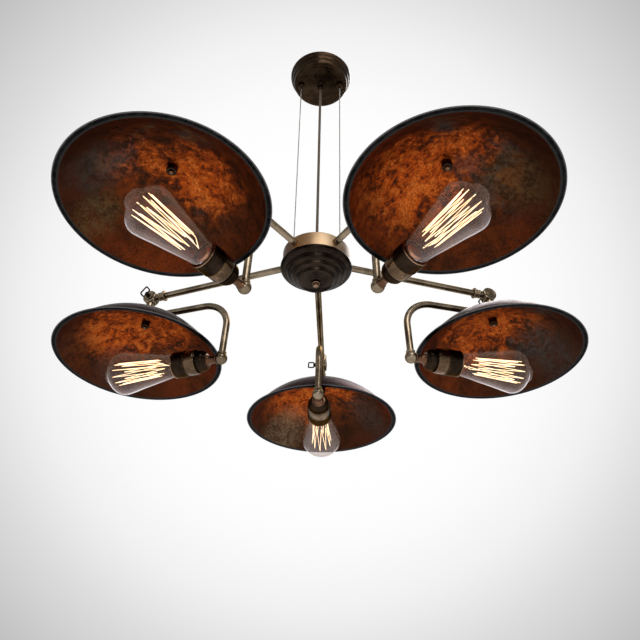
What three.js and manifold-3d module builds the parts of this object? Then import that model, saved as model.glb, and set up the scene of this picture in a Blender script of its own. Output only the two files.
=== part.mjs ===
// Five-arm ceiling light with tilting spun dish shades, in millimetres with Z up.
// The origin is on the ceiling plane, on the vertical axis, and arm 1 points along +Y.
// Each lamp is drawn with +X pointing away from the hub and is then turned to its azimuth.

import * as THREE from 'three';
import { mergeVertices } from 'three/addons/utils/BufferGeometryUtils.js';
import Module from 'manifold-3d';

const wasm = await Module();
wasm.setup();

// Clearances
const seatGap = 0.3;      // between two faces that touch on the real light
const boreGap = 0.3;      // around a pin, stud, spigot or tube in its hole
const sweepGap = 0.5;     // between one half of a swivel and the neck or stem of the other
const cutMargin = 3;      // how far a drill or cutter runs beyond what it cuts

// Facets round a turned piece
const hubSides = 20;      // a multiple of the arms, so that each meets the middle of a facet
const shadeSides = 20;
const mediumSides = 12;
const smallSides = 10;
const wireSides = 8;

// Ceiling bracket
const bracketInset = 10;  // rose's rim to the end of the bracket inside it
const bracketWidth = 20;
const bracketThickness = 3;
const slotLength = 11;
const slotWidth = 5;
const slotOffset = 20;
const bracketStudRadius = 3;

// Ceiling rose, with its flex bush
const roseRadius = 55;
const roseFaceRadius = 45.5;
const roseDepth = 24;
const roseWall = 1.6;
const roseSteps = 3;
const roseStepRun = 0.3;   // share of a step's run that its wall leans in by
const roseStepRise = 0.75; // share of a step's rise that its wall takes
const roseBushRadius = 7.2;
const roseBushLength = 12;

// Wires, their grips and the flex
const studInset = 10;     // end of the bracket to its stud, and so to the wire
const wireRadius = 0.9;
const gripRadius = 5.7;
const gripLength = 9;
const gripTipRadius = 3.2;
const gripThreadDepth = 5;
const flexRadius = 2.2;
const cordSteps = 8;

// Hub drum and what stands on its lid
const hangDrop = 452;     // ceiling plane to the arms' axes
const hubRadius = 50;
const hubHeight = 25.4;
const hubWall = 2.5;
const hubBushRadius = 6;
const hubBushLength = 8;
const wireSocketRadius = 4;
const wireSocketLength = 8;
const rodRadius = 4;
const rodBossWidth = 3;   // boss round the rod, under the drum's lid
const rodBossDepth = 6;

// Hub cover and finial
const coverOverhang = 3;  // cover beyond the drum, all round
const coverRimHeight = 3.5;
const coverRimEase = 2;   // how far the cover draws in below its rim
const coverWall = 2;
const coverDepth = 30;
const coverLipHeight = 3;
const coverSteps = [      // [share of the radius, share of the depth below the rim]
  [0.82, 0.16],
  [0.785, 0.32],
  [0.66, 0.44],
  [0.625, 0.58],
  [0.53, 0.68],
  [0.48, 0.84],
  [0.33, 0.97],
];
const dimpleRadius = 8.5;
const dimpleDepth = 1.5;
const finialRadius = 6;
const finialHeight = 8;
const finialThreadDepth = 4.5;

// Arms
const lampCount = 5;
const firstAzimuth = 90;  // degrees
const pivotRadius = 280;  // vertical axis to the swivel
const armRadius = 5;
const armWall = 1;
const armFlangeRadius = 7.5;
const armFlangeLength = 3;

// Knuckle
const collarDistance = 25.5;  // swivel axis to the end of the arm
const collarRadius = 8.5;
const collarLength = 3;
const neckRadius = 6.2;
const spigotLength = 10;

// Swivel discs, stem and cross block
const discRadius = 11;
const discThickness = 8;
const discEdge = 1.2;
const stemRadius = 6;
const blockRadius = 8;
const blockFlat = 7;      // swivel stem's axis to the face that the bar meets
const blockRise = 9;      // top of the cross block above the bar's axis
const blockTail = 1.5;    // cross block below the bar's underside
const flangeRadius = 10.5;
const flangeThickness = 2.5;
const studRadius = 3;
const studTail = 2.5;     // what shows of the stud below its nut

// Wing key
const keyShankRadius = 2.5;
const keyThreadDepth = 5.5;
const keyHeadRadius = 3.6;
const keyHeadLength = 7;
const keyWireRadius = 1.2;
const keyLoopWidth = 17;
const keyLoopLength = 12;
const keyLoopCorner = 2;
const keyTurns = [-20, 40, 15, 65, 30];  // degrees, one for each lamp

// Bent bar and ball elbow
const restTilt = 2.5;     // degrees, outer side of the dish up
const barRadius = 5;
const barDrop = 36;       // swivel axis to the bar's axis
const barReach = 144;     // swivel axis to the bar's down leg
const barBendRadius = 44;
const barBendSteps = 5;
const barSpigotLength = 4.5;
const ballRadius = 9;
const bulbDrop = 137.5;   // swivel axis to the bulb's axis

// Lamp holder, measured along the bulb from the top of the bulb's cap
const holderNeckRadius = 6.5;
const holderSpigotRadius = 4.2;
const holderSpigotLength = 3.5;
const holderBack = 50.5;
const holderMouth = 1.5;
const holderCapRadius = 15.5;
const holderCapLength = 13;
const holderGrooveRadius = 14;
const holderGrooveLength = 2.5;
const holderBandRadius = 18.3;
const holderBandLength = 15.5;
const holderSkirtRadius = 19.2;
const holderMouthWall = 1.5;
const holderMouthDepth = 4;

// Bulb, measured along its axis from the top of its cap
const capReach = 72;      // ball centre to the top of the bulb's cap
const capRadius = 13;
const capLength = 27;
const capRimRadius = 13.2;
const capFootLength = 5.5; // taper at the contact end of the cap
const glassLength = 118;
const glassRadius = 32;
const bellyDistance = 86; // cap to the widest place of the glass
const glassNeckRadius = 17.2;
const crownRadius = 15;   // small dome at the end, which the shoulder draws in to
const crownDepth = 9;
const glassWall = 1;
const pinchRadius = 4.5;
const pinchLength = 13;
const supportRadius = 1.4;
const filamentRadius = 0.45;
const filamentStrands = 10;
const cageNear = 25;
const cageFar = 100;
const cageNearRadius = 12;
const cageFarRadius = 16;
const cornerReach = 8;
const hookWidth = 0.8;

// Dish shade and its nut
const shadeRadius = 127;
const shadeFlange = 8.5;
const shadeDepth = 67;
const shadeWall = 1.2;
const shadeSeatRadius = 13;
const shadeRings = 4;
const nutRadius = 6.5;
const nutHeight = 9;
const nutChamfer = 0.8;

// Lengths, heights and places worked out from the sizes above
const armHeight = -hangDrop;
const bracketLength = 2 * (roseRadius - bracketInset);
const wireOffset = bracketLength / 2 - studInset;
const roseFace = -roseDepth;
const gripTop = roseFace - seatGap;
const gripBottom = gripTop - gripLength;
const roseBushBottom = roseFace - roseBushLength;
const hubTop = armHeight + hubHeight / 2;
const hubBottom = armHeight - hubHeight / 2;
const hubInner = hubRadius - hubWall;
const coverRadius = hubRadius + coverOverhang;
const hubCeiling = hubTop - hubWall;
const coverTop = hubBottom - seatGap;
const coverBottom = coverTop - coverDepth;
const dimpleTop = coverBottom + dimpleDepth;
const finialTop = dimpleTop - seatGap;
const rodBottom = finialTop - finialThreadDepth + seatGap;
const hubInnerFlat = hubInner * Math.cos(Math.PI / hubSides);
const armStart = Math.sqrt(hubInnerFlat ** 2 - armFlangeRadius ** 2) - seatGap - armFlangeLength;
const armEnd = pivotRadius - collarDistance - seatGap;
const discInner = seatGap / 2;
const discOuter = discInner + discThickness;
const shadeTop = -(barDrop + barRadius + blockTail + flangeThickness);
const flangeBottom = shadeTop + seatGap;
const nutTop = shadeTop - shadeWall - seatGap;
const nutBottom = nutTop - nutHeight;
const rimHeight = shadeTop - shadeDepth;
const ballFlat = ballRadius * 0.65;
const leadRadius = pinchRadius * 0.65;
const leadHeight = pinchLength - 1.5;

// Finishes
const finish = (color, roughness, metalness, extra = {}) =>
  new THREE.MeshStandardMaterial({ color, roughness, metalness, flatShading: true, ...extra });
const agedBrass = () => finish(0x7d6a50, 0.38, 0.9);
const brightBrass = () => finish(0xb5915c, 0.32, 0.95);
const darkBronze = () => finish(0x35291f, 0.42, 0.85);
const zincSteel = () => finish(0xa9adb0, 0.4, 0.9);
const brightSteel = () => finish(0xd4d2cc, 0.25, 0.95);
const brownFlex = () => finish(0x5b4a38, 0.75, 0);
const patina = () => finish(0x5d3524, 0.5, 0.7);
const clearGlass = () => finish(0xf3e6d4, 0.05, 0, { transparent: true, opacity: 0.28 });
const warmFilament = () => finish(0xe2b878, 0.35, 0.6, { emissive: 0xff9a3c });

// A closed solid from a three.js geometry, with its shared corners merged and its faces outward.
function solid(geometry) {
  const bare = geometry.clone();
  bare.deleteAttribute('normal');
  bare.deleteAttribute('uv');
  const merged = mergeVertices(bare, 1e-4);
  const corners = merged.getAttribute('position').array;
  const index = merged.index.array;
  const faces = [];
  let volume = 0;
  const [a, b, c] = [new THREE.Vector3(), new THREE.Vector3(), new THREE.Vector3()];
  for (let i = 0; i < index.length; i += 3) {
    const [p, q, r] = [index[i], index[i + 1], index[i + 2]];
    if (p === q || q === r || r === p) continue;
    faces.push(p, q, r);
    const normal = b.fromArray(corners, 3 * q).cross(c.fromArray(corners, 3 * r));
    volume += a.fromArray(corners, 3 * p).dot(normal);
  }
  if (volume < 0) faces.reverse();
  return new wasm.Manifold(new wasm.Mesh({
    numProp: 3,
    vertProperties: new Float32Array(corners),
    triVerts: new Uint32Array(faces),
  }));
}

// A profile of [radius, distance along the axis] points, turned round the x, y or z axis.
function turned(profile, sides, axis = 'z') {
  const points = profile.map(([r, h]) => new THREE.Vector2(r, h));
  const lathe = new THREE.LatheGeometry(points, sides, Math.PI / sides);
  if (axis === 'z') lathe.rotateX(Math.PI / 2);
  if (axis === 'x') lathe.rotateZ(-Math.PI / 2);
  return solid(lathe);
}

// A plain round bar along an axis, from one distance to another.
function rod(radius, from, to, sides, axis = 'z') {
  return turned([[0, from], [radius, from], [radius, to], [0, to]], sides, axis);
}

// A round hole's tool, whose flats still clear the given radius
function drill(radius, from, to, sides, axis = 'z') {
  return rod(radius / Math.cos(Math.PI / sides), from, to, sides, axis);
}

// A path that a section is swept along from station to station, and not at even steps.
class StationPath extends THREE.Curve {
  constructor(stations) {
    super();
    this.stations = stations;
  }

  getPoint(t) {
    return this.stations[Math.round(t * (this.stations.length - 1))].clone();
  }

  getPointAt(u) {
    return this.getPoint(u);
  }

  getTangent(t) {
    const last = this.stations.length - 1;
    const here = Math.round(t * last);
    const tangent = new THREE.Vector3();
    if (here > 0) tangent.add(this.stations[here].clone().sub(this.stations[here - 1]).normalize());
    if (here < last) tangent.add(this.stations[here + 1].clone().sub(this.stations[here]).normalize());
    return tangent.normalize();
  }

  getTangentAt(u) {
    return this.getTangent(u);
  }
}

// A round wire or bar through its stations.
function swept(stations, radius, sides) {
  const ring = [];
  for (let i = 0; i < sides; i += 1) {
    const angle = (2 * Math.PI * (i + 0.5)) / sides;
    ring.push(new THREE.Vector2(radius * Math.cos(angle), radius * Math.sin(angle)));
  }
  return solid(new THREE.ExtrudeGeometry(new THREE.Shape(ring), {
    steps: stations.length - 1,
    bevelEnabled: false,
    extrudePath: new StationPath(stations),
  }));
}

// A taut cord between two heights, in even steps.
function tautCord(x, top, bottom, radius) {
  const stations = [];
  for (let i = 0; i <= cordSteps; i += 1) {
    stations.push(new THREE.Vector3(x, 0, top + ((bottom - top) * i) / cordSteps));
  }
  return swept(stations, radius, wireSides);
}

// Points of the circle round a centre on the axis, from one [radius, height] to another.
function axialArc([r0, z0], [r1, z1], rings) {
  const centre = (r1 * r1 - r0 * r0 + z1 * z1 - z0 * z0) / (2 * (z1 - z0));
  const radius = Math.hypot(r0, z0 - centre);
  const from = Math.atan2(r0, z0 - centre);
  const to = Math.atan2(r1, z1 - centre);
  const points = [];
  for (let i = 0; i <= rings; i += 1) {
    const angle = from + ((to - from) * i) / rings;
    points.push([radius * Math.sin(angle), centre + radius * Math.cos(angle)]);
  }
  return points;
}

// Adds a solid to a group as a named mesh.
function place(group, name, body, material) {
  const { vertProperties, triVerts } = body.getMesh();
  const geometry = new THREE.BufferGeometry();
  geometry.setAttribute('position', new THREE.BufferAttribute(new Float32Array(vertProperties), 3));
  geometry.setIndex(new THREE.BufferAttribute(new Uint32Array(triVerts), 1));
  geometry.computeVertexNormals();
  const mesh = new THREE.Mesh(geometry, material);
  mesh.name = name;
  group.add(mesh);
}

// Strap with two ceiling-screw slots and the two studs that carry everything below
function ceilingBracket() {
  const end = bracketWidth / 2;
  const reach = bracketLength / 2 - end;
  const outline = new THREE.Shape();
  outline.absarc(reach, 0, end, -Math.PI / 2, Math.PI / 2);
  outline.absarc(-reach, 0, end, Math.PI / 2, 1.5 * Math.PI);
  outline.closePath();
  for (const side of [-1, 1]) {
    const slot = new THREE.Path();
    const half = (slotLength - slotWidth) / 2;
    slot.absarc(side * slotOffset + half, 0, slotWidth / 2, -Math.PI / 2, Math.PI / 2);
    slot.absarc(side * slotOffset - half, 0, slotWidth / 2, Math.PI / 2, 1.5 * Math.PI);
    slot.closePath();
    outline.holes.push(slot);
  }
  const plate = new THREE.ExtrudeGeometry(outline, {
    depth: bracketThickness,
    bevelEnabled: false,
    curveSegments: 3,
  });
  plate.translate(0, 0, -bracketThickness);
  let body = solid(plate);
  const studEnd = gripTop - gripThreadDepth + seatGap;
  for (const side of [-1, 1]) {
    const stud = rod(bracketStudRadius, studEnd, -bracketThickness / 2, wireSides);
    body = body.add(stud.translate([side * wireOffset, 0, 0]));
  }
  return body;
}

// Spun cup with a stepped wall, open to the ceiling, with the flex bush under its face
function ceilingRose() {
  const run = (roseRadius - roseFaceRadius) / roseSteps;
  const rise = roseDepth / roseSteps;
  const outside = [];
  for (let step = 0; step < roseSteps; step += 1) {
    outside.push([roseRadius - step * run, -step * rise]);
    outside.push([roseRadius - (step + roseStepRun) * run, -(step + roseStepRise) * rise]);
  }
  outside.push([roseFaceRadius, roseFace]);
  const inside = [
    [0, roseFace + roseWall],
    [roseFaceRadius - run / 2 - roseWall, roseFace + roseWall],
    [roseRadius - run - roseWall, -rise],
    [roseRadius - run / 2 - roseWall, 0],
  ];
  const shoulder = roseFace - roseBushLength / 3;
  const bush = [
    [roseBushRadius, roseFace],
    [roseBushRadius, shoulder],
    [roseBushRadius * 0.75, shoulder - 1],
    [roseBushRadius * 0.75, roseBushBottom + 1],
    [roseBushRadius * 0.6, roseBushBottom],
    [0, roseBushBottom],
  ];
  let body = turned([...inside, ...outside, ...bush], shadeSides);
  for (const side of [-1, 1]) {
    const hole = drill(bracketStudRadius + boreGap, roseFace - 1, roseFace + roseWall + 1, wireSides);
    body = body.subtract(hole.translate([side * wireOffset, 0, 0]));
  }
  return body;
}

// Turned grip, screwed on the bracket's stud, with the wire leaving its tip
function wireGrip() {
  const shoulder = gripTop - gripLength * 0.6;
  const body = turned([
    [0, gripTop],
    [gripRadius, gripTop],
    [gripRadius, shoulder],
    [gripTipRadius, shoulder - 1],
    [gripTipRadius, gripBottom],
    [0, gripBottom],
  ], smallSides);
  const thread = drill(bracketStudRadius + boreGap, gripTop - gripThreadDepth, gripTop + 1, wireSides);
  return body.subtract(thread);
}

// Closed-top drum with a hole for each arm, its lid fittings and the rod that holds the cover
function hubDrum() {
  let body = turned([
    [0, rodBottom],
    [rodRadius, rodBottom],
    [rodRadius, hubCeiling - rodBossDepth],
    [rodRadius + rodBossWidth, hubCeiling - rodBossDepth + rodBossWidth / 3],
    [rodRadius + rodBossWidth, hubCeiling],
    [hubInner, hubCeiling],
    [hubInner, hubBottom],
    [hubRadius, hubBottom],
    [hubRadius, hubTop - 1],
    [hubRadius - 1, hubTop],
    [hubBushRadius, hubTop],
    [hubBushRadius, hubTop + hubBushLength - 1],
    [hubBushRadius - 1, hubTop + hubBushLength],
    [0, hubTop + hubBushLength],
  ], hubSides);
  for (const side of [-1, 1]) {
    const socket = rod(wireSocketRadius, hubTop - 1, hubTop + wireSocketLength, wireSides);
    body = body.add(socket.translate([side * wireOffset, 0, 0]));
  }
  for (let n = 0; n < lampCount; n += 1) {
    const hole = drill(armRadius + boreGap, hubInner - cutMargin, hubRadius + cutMargin, smallSides, 'x');
    body = body.subtract(hole.rotate([0, 0, azimuth(n)]).translate([0, 0, armHeight]));
  }
  return body;
}

// Cover spun in three steps, with a lip that centres it in the drum and a dimple for the finial
function hubCover() {
  const below = (share) => coverTop - coverRimHeight - (coverDepth - coverRimHeight) * share;
  const outside = [
    [coverRadius, coverTop],
    [coverRadius, coverTop - coverRimHeight + 1],
    [coverRadius - coverRimEase, below(0.06)],
    ...coverSteps.map(([radius, depth]) => [coverRadius * radius, below(depth)]),
    [dimpleRadius, coverBottom],
    [dimpleRadius - 1, dimpleTop],
    [rodRadius + boreGap, dimpleTop],
  ];
  const inside = [
    [rodRadius + boreGap, dimpleTop + coverWall],
    [coverRadius * 0.46, below(0.84) + coverWall],
    [hubInner - boreGap - coverWall, coverTop - coverWall],
    [hubInner - boreGap - coverWall, coverTop + coverLipHeight],
    [hubInner - boreGap, coverTop + coverLipHeight],
    [hubInner - boreGap, coverTop],
  ];
  return turned([...inside, ...outside, inside[0]], hubSides);
}

// Small cap nut on the end of the hub's rod
function hubFinial() {
  const tip = finialTop - finialHeight;
  const body = turned([
    [0, finialTop],
    [finialRadius, finialTop],
    [finialRadius, finialTop - finialHeight * 0.25],
    [finialRadius * 0.85, finialTop - finialHeight * 0.3],
    [finialRadius * 0.8, finialTop - finialHeight * 0.65],
    [finialRadius * 0.45, tip + finialHeight * 0.08],
    [0, tip],
  ], smallSides);
  const thread = drill(rodRadius + boreGap, finialTop - finialThreadDepth, finialTop + 1, wireSides);
  return body.subtract(thread);
}

// Tube from inside the drum to the knuckle, with a flange that the drum's wall holds back
function armTube() {
  const bore = armRadius - armWall;
  return turned([
    [bore, armStart],
    [armFlangeRadius, armStart],
    [armFlangeRadius, armStart + armFlangeLength],
    [armRadius, armStart + armFlangeLength],
    [armRadius, armEnd],
    [bore, armEnd],
    [bore, armStart],
  ], smallSides, 'x');
}

// One disc of the swivel, on the side of the split that the sign gives
function swivelDisc(side) {
  return turned([
    [0, side * discInner],
    [discRadius, side * discInner],
    [discRadius, side * (discOuter - discEdge)],
    [discRadius - discEdge, side * discOuter],
    [0, side * (discOuter + discEdge / 3)],
  ], mediumSides, 'y');
}

// The room that the opposite half of the swivel sweeps through, on the side that the sign gives
function swivelSweep(side) {
  const far = side * (discOuter + neckRadius);
  return drill(discRadius + sweepGap, side * -discInner, far, mediumSides, 'y');
}

// Arm half of the swivel: spigot in the arm, collar, ribbed neck and disc, drawn round the pivot
function knuckle() {
  const face = -collarDistance;
  const rib = (discRadius + sweepGap - collarDistance + collarLength) / 2 - discRadius - sweepGap;
  const neck = turned([
    [0, face - spigotLength],
    [armRadius - armWall - boreGap, face - spigotLength],
    [armRadius - armWall - boreGap, face],
    [collarRadius, face],
    [collarRadius, face + collarLength],
    [neckRadius - 1, face + collarLength + 1],
    [neckRadius + 0.6, rib],
    [neckRadius - 0.6, rib + 1.5],
    [neckRadius, -discRadius / 2],
    [0, -discRadius / 2],
  ], smallSides, 'x');
  const screwHole = drill(keyShankRadius + boreGap, 1, -discInner - keyThreadDepth, wireSides, 'y');
  return neck.add(swivelDisc(-1)).subtract(swivelSweep(1)).subtract(screwHole);
}

// Lamp half of the swivel: disc, stem, cross block with the bar's socket, flange and shade stud
function swivel() {
  const blockTop = blockRise - barDrop;
  const flangeTop = flangeBottom + flangeThickness;
  const studEnd = nutBottom - studTail;
  const stem = turned([
    [0, -discRadius / 2],
    [stemRadius, -discRadius / 2],
    [stemRadius, blockTop + 1.5],
    [blockRadius, blockTop],
    [blockRadius, flangeTop],
    [flangeRadius, flangeTop],
    [flangeRadius, flangeBottom],
    [studRadius, flangeBottom],
    [studRadius, studEnd],
    [0, studEnd],
  ], smallSides);
  const socketRadius = barRadius - 1 + boreGap;
  const socket = drill(socketRadius, -blockRadius - 1, -blockFlat + barSpigotLength, wireSides, 'x');
  const facing = rod(barRadius + 1, -blockRadius - 1, -blockFlat, smallSides, 'x');
  const keyHole = drill(keyShankRadius + boreGap, -1, discOuter + 1, wireSides, 'y');
  return stem.add(swivelDisc(1)).subtract(swivelSweep(-1)).subtract(keyHole)
    .subtract(socket.add(facing).translate([0, 0, -barDrop]));
}

// Clamp screw of the swivel, with a rectangular wire handle across its head
function wingKey() {
  const headStart = discOuter + discEdge / 3 + seatGap;
  const headEnd = headStart + keyHeadLength;
  const screw = turned([
    [0, -discInner - keyThreadDepth + seatGap],
    [keyShankRadius, -discInner - keyThreadDepth + seatGap],
    [keyShankRadius, headStart],
    [keyHeadRadius, headStart],
    [keyHeadRadius, headEnd - 1],
    [keyHeadRadius - 1, headEnd],
    [0, headEnd],
  ], wireSides, 'y');
  const half = keyLoopWidth / 2 - keyWireRadius;
  const near = headEnd - keyWireRadius;
  const far = near + keyLoopLength - 2 * keyWireRadius;
  const corner = keyLoopCorner;
  const route = [
    [-0.4, near], [-half + corner, near], [-half, near + corner], [-half, far - corner],
    [-half + corner, far], [half - corner, far], [half, far - corner], [half, near + corner],
    [half - corner, near], [0.4, near],
  ];
  return screw.add(swept(route.map(([x, y]) => new THREE.Vector3(x, y, 0)), keyWireRadius, 5));
}

// Bar from the cross block to the ball elbow: a level run, a bend and a down leg
function lampBar() {
  const bendX = barBendRadius - barReach;
  const bendZ = -barDrop - barBendRadius;
  const stations = [new THREE.Vector3(-blockFlat - seatGap, 0, -barDrop)];
  for (let i = 0; i <= barBendSteps; i += 1) {
    const angle = (Math.PI / 2) * (1 + i / barBendSteps);
    const x = bendX + barBendRadius * Math.cos(angle);
    stations.push(new THREE.Vector3(x, 0, bendZ + barBendRadius * Math.sin(angle)));
  }
  stations.push(new THREE.Vector3(-barReach, 0, -bulbDrop));
  const spigotEnd = -blockFlat + barSpigotLength - seatGap;
  const spigot = rod(barRadius - 1, -blockFlat - 1, spigotEnd, wireSides, 'x');
  const ball = solid(new THREE.SphereGeometry(ballRadius, smallSides, 7));
  const facing = rod(ballRadius, ballFlat, 2 * ballRadius, wireSides, 'x');
  const depth = holderSpigotLength + seatGap;
  const socket = drill(holderSpigotRadius + boreGap, ballFlat - depth, 2 * ballRadius, wireSides, 'x');
  return swept(stations, barRadius, smallSides)
    .add(spigot.translate([0, 0, -barDrop]))
    .add(ball.translate([-barReach, 0, -bulbDrop]))
    .subtract(facing.add(socket).translate([-barReach, 0, -bulbDrop]));
}

// Holder with its neck, domed cap, groove, band and skirt, hollow for the bulb's cap
function lampHolder() {
  const neckStart = -capReach + ballFlat + seatGap;
  const back = -holderBack;
  const capEnd = back + holderCapLength;
  const bandStart = capEnd + holderGrooveLength;
  const bandEnd = bandStart + holderBandLength;
  const bore = (capRadius + boreGap) / Math.cos(Math.PI / mediumSides);
  return turned([
    [0, neckStart - holderSpigotLength],
    [holderSpigotRadius, neckStart - holderSpigotLength],
    [holderSpigotRadius, neckStart],
    [holderNeckRadius, neckStart],
    [holderNeckRadius, back],
    [holderCapRadius * 0.75, back],
    [holderCapRadius * 0.93, back + holderCapLength * 0.35],
    [holderCapRadius, capEnd],
    [holderGrooveRadius, capEnd],
    [holderGrooveRadius, bandStart],
    [holderBandRadius, bandStart],
    [holderBandRadius, bandEnd],
    [holderSkirtRadius, bandEnd],
    [holderSkirtRadius, holderMouth],
    [holderSkirtRadius - holderMouthWall, holderMouth],
    [holderSkirtRadius - holderMouthWall, holderMouth - holderMouthDepth],
    [bore, holderMouth - holderMouthDepth],
    [bore, -capLength - seatGap],
    [0, -capLength - seatGap],
  ], mediumSides);
}

// The filament's stations: up and down the cage in one unbroken wire, from lead to lead
function filamentRoute() {
  const at = (strand, radius, height) => {
    const angle = (2 * Math.PI * (strand + 0.5)) / filamentStrands;
    return new THREE.Vector3(radius * Math.cos(angle), radius * Math.sin(angle), height);
  };
  const stations = [at(0, leadRadius, leadHeight)];
  for (let strand = 0; strand < filamentStrands; strand += 1) {
    const ends = [at(strand, cageNearRadius, cageNear), at(strand, cageFarRadius, cageFar)];
    stations.push(...(strand % 2 === 0 ? ends : ends.reverse()));
  }
  stations.push(at(filamentStrands - 1, leadRadius, leadHeight));
  return stations;
}

// Least distance between two stretches of a wire that are not next to each other, less its width.
// Points lie about 1 mm apart, and those within the reach of a corner are not compared.
function leastGap(stations, radius) {
  const points = [];
  for (let i = 0; i + 1 < stations.length; i += 1) {
    const length = stations[i].distanceTo(stations[i + 1]);
    const cuts = Math.max(1, Math.round(length));
    for (let k = 0; k < cuts; k += 1) points.push(stations[i].clone().lerp(stations[i + 1], k / cuts));
  }
  let least = Infinity;
  for (let i = 0; i < points.length; i += 1) {
    for (let k = i + cornerReach; k < points.length; k += 1) {
      least = Math.min(least, points[i].distanceTo(points[k]));
    }
  }
  return least - 2 * radius;
}

// The hooks that hold the far arches, as one thin star round the support rod
function hookStar() {
  const spokes = filamentStrands / 2;
  const points = [];
  for (let spoke = 0; spoke < spokes; spoke += 1) {
    const angle = (2 * Math.PI * (spoke + 0.5)) / spokes;
    const along = new THREE.Vector2(Math.cos(angle), Math.sin(angle));
    const across = new THREE.Vector2(-along.y, along.x).multiplyScalar(hookWidth / 2);
    const valley = along.clone().rotateAround(new THREE.Vector2(), -Math.PI / spokes);
    points.push(valley.multiplyScalar(supportRadius));
    points.push(along.clone().multiplyScalar(cageFarRadius).sub(across));
    points.push(along.clone().multiplyScalar(cageFarRadius).add(across));
  }
  const star = new THREE.Shape(points);
  return solid(new THREE.ExtrudeGeometry(star, { depth: hookWidth, bevelEnabled: false }));
}

// Screw cap, pinched stem, support rod with its hooks, and the squirrel-cage filament
function bulbCore() {
  const rodEnd = cageFar + hookWidth;
  const sunk = pinchLength - supportRadius;
  let body = turned([
    [0, -capLength],
    [capRadius * 0.35, -capLength],
    [capRadius * 0.8, -capLength + capFootLength * 0.65],
    [capRadius, -capLength + capFootLength],
    [capRadius, 0],
    [pinchRadius * 1.6, 0],
    [pinchRadius, pinchLength],
    [0, pinchLength],
  ], smallSides);
  body = body.add(rod(supportRadius, sunk, rodEnd, 5));
  body = body.add(swept(filamentRoute(), filamentRadius, 4));
  return body.add(hookStar().translate([0, 0, cageFar - hookWidth / 2]));
}

// Blown envelope with an open neck that stands on the cap
function bulbGlass() {
  const outline = (inset) => {
    const neck = glassNeckRadius - inset;
    const belly = glassRadius - inset;
    const crown = crownRadius - inset;
    const crownFoot = glassLength - crownDepth;
    const shoulder = (bellyDistance + crownFoot) / 2;
    const side = new THREE.CubicBezierCurve(
      new THREE.Vector2(neck, glassNeckRadius / 2),
      new THREE.Vector2(neck, bellyDistance * 0.42),
      new THREE.Vector2(belly, bellyDistance * 0.62),
      new THREE.Vector2(belly, bellyDistance),
    );
    return [
      [capRimRadius - inset, seatGap],
      ...side.getPoints(2).map(({ x, y }) => [x, y]),
      [belly - (belly - crown) * 0.3, shoulder],
      [crown, crownFoot],
      [crown * 0.62, glassLength - crownDepth * 0.28 - inset],
      [0, glassLength - inset],
    ];
  };
  return turned([...outline(0), ...outline(glassWall).reverse(), outline(0)[0]], mediumSides);
}

// Spun dish with a flat seat at its centre and a flat rim
function shade() {
  const bowl = shadeRadius - shadeFlange;
  const outside = axialArc([shadeSeatRadius, shadeTop], [bowl, rimHeight + shadeWall], shadeRings);
  const innerSeat = [shadeSeatRadius, shadeTop - shadeWall];
  const inside = axialArc(innerSeat, [bowl - shadeWall, rimHeight], shadeRings);
  const hole = studRadius + boreGap;
  return turned([
    [hole, shadeTop],
    ...outside,
    [shadeRadius, rimHeight + shadeWall],
    [shadeRadius, rimHeight],
    ...inside.reverse(),
    [hole, shadeTop - shadeWall],
    [hole, shadeTop],
  ], shadeSides);
}

// Round nut under the shade
function shadeNut() {
  const bore = studRadius + boreGap;
  return turned([
    [bore, nutTop],
    [nutRadius, nutTop],
    [nutRadius, nutBottom + nutChamfer],
    [nutRadius - nutChamfer, nutBottom],
    [bore, nutBottom],
    [bore, nutTop],
  ], smallSides);
}

// Azimuth of a lamp in degrees
function azimuth(n) {
  return firstAzimuth + (360 / lampCount) * n;
}

const chandelier = new THREE.Group();

// Suspension and hub
place(chandelier, 'ceiling_bracket', ceilingBracket(), zincSteel());
place(chandelier, 'ceiling_rose', ceilingRose(), darkBronze());
const flex = tautCord(0, roseBushBottom - seatGap, hubTop + hubBushLength + seatGap, flexRadius);
place(chandelier, 'flex', flex, brownFlex());
for (const [side, name] of [[-1, 'left'], [1, 'right']]) {
  const x = side * wireOffset;
  const wire = tautCord(x, gripBottom - seatGap, hubTop + wireSocketLength + seatGap, wireRadius);
  place(chandelier, `rose_wire_grip_${name}`, wireGrip().translate([x, 0, 0]), darkBronze());
  place(chandelier, `wire_${name}`, wire, brightSteel());
}
place(chandelier, 'hub_drum', hubDrum(), brightBrass());
place(chandelier, 'hub_cover', hubCover(), darkBronze());
place(chandelier, 'hub_finial', hubFinial(), brightBrass());

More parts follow.
